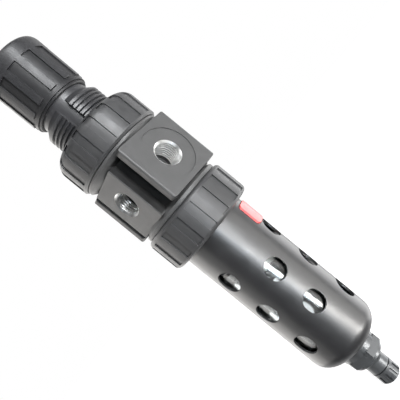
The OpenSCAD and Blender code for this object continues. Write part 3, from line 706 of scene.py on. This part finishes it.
def step_corner(direction):
    """Cutter for the undercut in the corner of a main port's shallow step."""
    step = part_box("body_casting")[1].x - STEP_DEPTH
    ring = turned("step_groove", [
        (STEP_R - 0.8 * MM, step + MM), (STEP_R - 0.5 * MM, step - 0.35 * MM),
        (STEP_R + 0.02 * MM, step - 0.35 * MM), (STEP_R + 0.3 * MM, step + MM)])
    ring.data.transform(along(direction, PORT_LEVEL))
    return ring


def make_casting():
    """Body casting with rounded edges, bored ports and threaded spigots."""
    casting = rounded("body_casting", 0.4)
    cutters = [open_port(mount) for mount in MOUNTS.values() if mount["kind"] == "threaded_hole"]
    cutters += [step_corner(direction) for direction in ((1, 0, 0), (-1, 0, 0))]
    cutters += [groove(name, SPIGOT_R, SPIGOT_R - SPIGOT_THREAD, foot * MM, top * MM, SPIGOT_PITCH)
                for name, foot, top in SPIGOTS]
    carve(casting, *cutters)
    polish(casting)


# ---- springs and adjusting screw ---------------------------------------


def coil(node, mid_r, wire_r, turns, foot, top, steps=64, sides=16):
    """Smooth round-wire spring in a CAD spring's place, its end turns closed."""
    end = 0.75 / turns  # part of the wire that each closed end takes
    end_rise = 1.2 * wire_r
    rise = top - foot - 2 * wire_r
    spots = []
    for i in range(int(turns * steps) + 1):
        t = i / (turns * steps)
        near_end = min(t, 1 - t)
        if near_end < end:
            level = end_rise * near_end / end
            level = level if t < 0.5 else rise - level
        else:
            level = end_rise + (rise - 2 * end_rise) * (t - end) / (1 - 2 * end)
        outward = Vector((*polar(1, i * TURN / steps), 0))
        centre = outward * mid_r + Vector((0, 0, foot + wire_r + level))
        spots.append((centre, outward, Vector((0, 0, 1))))
    section = [polar(wire_r, TURN * j / sides) for j in range(sides)]
    spring = swept(node + "_look", spots, section)
    shade(spring.data, 50)
    return as_node(spring, node)


def make_springs():
    """Range spring and valve spring, each with a mesh of its own."""
    foot, top = levels("range_spring")
    range_spring = coil("range_spring", 10.2 * MM, 1.3 * MM, 5.5, foot, top)
    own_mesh(range_spring)
    foot, top = levels("valve_spring")
    valve_spring = coil("valve_spring", 4 * MM, 0.4 * MM, 6, foot, top)
    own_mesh(valve_spring)


def make_screw():
    """Screw with its left-hand thread, which ends just above the nut."""
    screw = rounded("adjusting_screw", 0.4, angle=50)
    foot, top = levels("adjusting_screw")
    thread_top = levels("spring_nut")[1] + 0.4 * MM
    left_hand = Matrix.Diagonal((1, -1, 1, 1))
    carve(screw, groove("screw_groove", 4 * MM, 3.35 * MM, foot - MM, thread_top, 1.25 * MM,
                        place=left_hand))
    # the top stays clear of the knob's socket when the knob is pushed down
    for vertex in screw.data.vertices:
        if vertex.co.z > top - MM:
            vertex.co.z -= 0.05 * MM
    polish(screw)


# ---- diaphragm: clamped rim, rolled part and the middle that moves -----


def make_diaphragm():
    """Diaphragm as a rim on the casting, a middle on the plate and a roll between."""
    foot = BONNET_FOOT - MM  # underside of the flat sheet, which is 1 mm thick
    roll_foot = levels("diaphragm")[0]
    hole_r, middle_r, edge = 2.6 * MM, 12.2 * MM, 0.3 * MM
    middle = turned("diaphragm_middle", [
        (hole_r, foot), (middle_r, foot), (middle_r + edge, foot + edge),
        (middle_r + edge, BONNET_FOOT), (hole_r, BONNET_FOOT)])
    rim_inner, bead_outer, bead_foot = 16.6 * MM, 17.3 * MM, foot - 1.3 * MM
    rim = turned("diaphragm_rim", [
        (rim_inner, bead_foot), (bead_outer, bead_foot), (bead_outer, foot), (FLANGE_R, foot),
        (FLANGE_R, BONNET_FOOT), (16.9 * MM, BONNET_FOOT), (rim_inner, foot + 0.5 * MM)])
    roll_mid, roll_r, wall = 14.95 * MM, 2.35 * MM, 0.7 * MM
    drop = roll_foot - foot
    bend = [math.pi * i / 14 for i in range(15)]
    roll = turned("diaphragm_roll", [
        *((roll_mid - roll_r * math.cos(a), foot + drop * math.sin(a)) for a in bend),
        *((roll_mid + (roll_r - wall) * math.cos(a), foot + wall + drop * math.sin(a))
          for a in bend)])
    moving, still = NODES["diaphragm_plate"]["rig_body"], NODES["body_casting"]["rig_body"]
    for piece, body in ((middle, moving), (rim, still), (roll, still)):
        piece.data.materials.append(MATERIALS[SLOT_OF["diaphragm"]])
        shade(piece.data, 40)
        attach(piece, body)
        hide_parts("diaphragm")
    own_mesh(roll)


# ---- stage, lights and camera ----------------------------------------

# The photograph's view: the object's axis lies tilted across the picture
VIEW_AZIMUTH = math.radians(51.23)
VIEW_ROLL = math.radians(50.751)
VIEW_DISTANCE = 226.53 * MM
VIEW_LEVEL = -64.37 * MM
VIEW_ASIDE = 7.09 * MM
LENS = 40.65

BACK = Vector((math.sin(VIEW_AZIMUTH), -math.cos(VIEW_AZIMUTH), 0))
RIGHT = Vector((math.cos(VIEW_AZIMUTH), math.sin(VIEW_AZIMUTH), 0))
UP = Vector((0, 0, 1))

ROOM_LIGHT = 0.07
# Side in degrees right of the camera, level, distance, width and height in
# metres, watts, colour, and tilt in degrees. A tilted strip makes the guard's
# highlight drift to the right towards its foot.
LAMPS = {
    "key": (30.5, -0.27, 0.6, 0.09, 0.72, 4.5, (1, 0.985, 0.96), 46),
    "cool_edge": (12, -0.13, 0.6, 0.05, 0.36, 0.8, (0.72, 0.86, 1), 46),
    "key_top": (33, 0.235, 0.6, 0.14, 0.55, 6.0, (0.96, 0.98, 1), 0),
    "right_fill": (62, -0.25, 0.6, 0.5, 0.6, 2.0, (1, 0.98, 0.95), 0),
    "right_panel": (122, -0.2, 0.6, 0.45, 0.8, 2.6, (1, 1, 1), 0),
    "left_fill": (-80, 0.0, 0.6, 0.5, 0.9, 1.1, (1, 0.98, 0.96), 0),
    "left_panel": (-125, 0.0, 0.6, 0.8, 0.9, 4.0, (1, 0.97, 0.93), 0),
    "top": (20, 0.6, 0.4, 0.4, 0.4, 1, (1, 1, 1), 0),
}


def place_camera():
    """Camera at the photograph's viewing angle, rolled as the photograph is."""
    data = bpy.data.cameras.new("view")
    data.lens = LENS
    data.clip_start = 0.01
    camera = bpy.data.objects.new("view", data)
    bpy.context.scene.collection.objects.link(camera)
    camera_up = math.cos(VIEW_ROLL) * UP + math.sin(VIEW_ROLL) * RIGHT
    camera_right = math.cos(VIEW_ROLL) * RIGHT - math.sin(VIEW_ROLL) * UP
    turn = Matrix((camera_right, camera_up, BACK)).transposed().to_4x4()
    spot = BACK * VIEW_DISTANCE + RIGHT * VIEW_ASIDE + UP * VIEW_LEVEL
    camera.matrix_world = Matrix.Translation(spot) @ turn
    bpy.context.scene.camera = camera


def softbox(name, side, level, distance, width, height, strength, colour, tilt):
    """Area light facing the object's middle; a tilt leans its foot to the right."""
    data = bpy.data.lights.new(name, "AREA")
    data.shape = "RECTANGLE"
    data.size = width
    data.size_y = height
    data.energy = strength
    data.color = colour
    light = bpy.data.objects.new(name, data)
    bpy.context.scene.collection.objects.link(light)
    turn = math.radians(side)
    out = BACK * math.cos(turn) + RIGHT * math.sin(turn)
    middle = UP * VIEW_LEVEL
    light.location = middle + out * distance + UP * level
    aim = light.location - middle
    lean = Matrix.Rotation(math.radians(tilt), 3, aim)
    light.rotation_euler = (lean @ aim.to_track_quat("Z", "Y").to_matrix()).to_euler()


def make_world():
    """White to the camera and behind the object, a dim room in front of it."""
    world = bpy.data.worlds.new("studio")
    world.use_nodes = True
    tree = world.node_tree
    room = tree.nodes["Background"]
    room.inputs["Strength"].default_value = ROOM_LIGHT
    white = tree.nodes.new("ShaderNodeBackground")
    white.inputs["Color"].default_value = (1, 1, 1, 1)
    # glossy rays see the backdrop where they leave away from the camera
    direction = tree.nodes.new("ShaderNodeTexCoord").outputs["Generated"]
    away = on_vector(tree, "DOT_PRODUCT", direction, -BACK).outputs["Value"]
    behind = remap(tree, away, -0.1, 0.5, 0.0, 1.0)
    ray = tree.nodes.new("ShaderNodeLightPath").outputs
    glossy = joined(tree, "MULTIPLY", ray["Is Glossy Ray"], behind)
    seen = joined(tree, "MAXIMUM", ray["Is Camera Ray"], ray["Is Transmission Ray"])
    shown = blended(tree, joined(tree, "MAXIMUM", seen, glossy), room.outputs[0], white.outputs[0])
    tree.links.new(shown, tree.nodes["World Output"].inputs[0])
    bpy.context.scene.world = world


def make_floor():
    """Pale floor just under the drain, white to the camera but for its shadow.

    It is clear to glossy and shadow rays, so that the lamps' lower ends,
    which reach below it, still light the object and show in it.
    """
    half = 3.0
    level = levels("drain_knob")[0] - 0.2 * MM
    corners = [(-half, -half, level), (half, -half, level), (half, half, level),
               (-half, half, level)]
    floor = plain_object("floor", corners, [(0, 1, 2, 3)])
    material, tree, shader = new_material("floor")
    shader.inputs["Base Color"].default_value = (0.8, 0.8, 0.8, 1)
    shader.inputs["Roughness"].default_value = 0.9
    glow = tree.nodes.new("ShaderNodeEmission")
    fading = remap(tree, outward_from_axis(tree), 0.12, 0.6, 0.8, 1.0)
    tree.links.new(fading, glow.inputs["Strength"])
    lit = tree.nodes.new("ShaderNodeAddShader")
    tree.links.new(shader.outputs[0], lit.inputs[0])
    tree.links.new(glow.outputs[0], lit.inputs[1])
    clear = tree.nodes.new("ShaderNodeBsdfTransparent")
    ray = tree.nodes.new("ShaderNodeLightPath").outputs
    seen = blended(tree, ray["Is Camera Ray"], shader.outputs[0], lit.outputs[0])
    open_to = joined(tree, "MAXIMUM", ray["Is Glossy Ray"], ray["Is Shadow Ray"])
    shown = blended(tree, open_to, seen, clear.outputs[0])
    tree.links.new(shown, tree.nodes["Material Output"].inputs[0])
    floor.data.materials.append(material)


make_bonnet()
make_moulded()
make_guard()
make_casting()
make_springs()
make_screw()
make_diaphragm()
place_camera()
make_world()
make_floor()
for name, settings in LAMPS.items():
    softbox(name, *settings)

bpy.context.scene.view_settings.view_transform = "Standard"
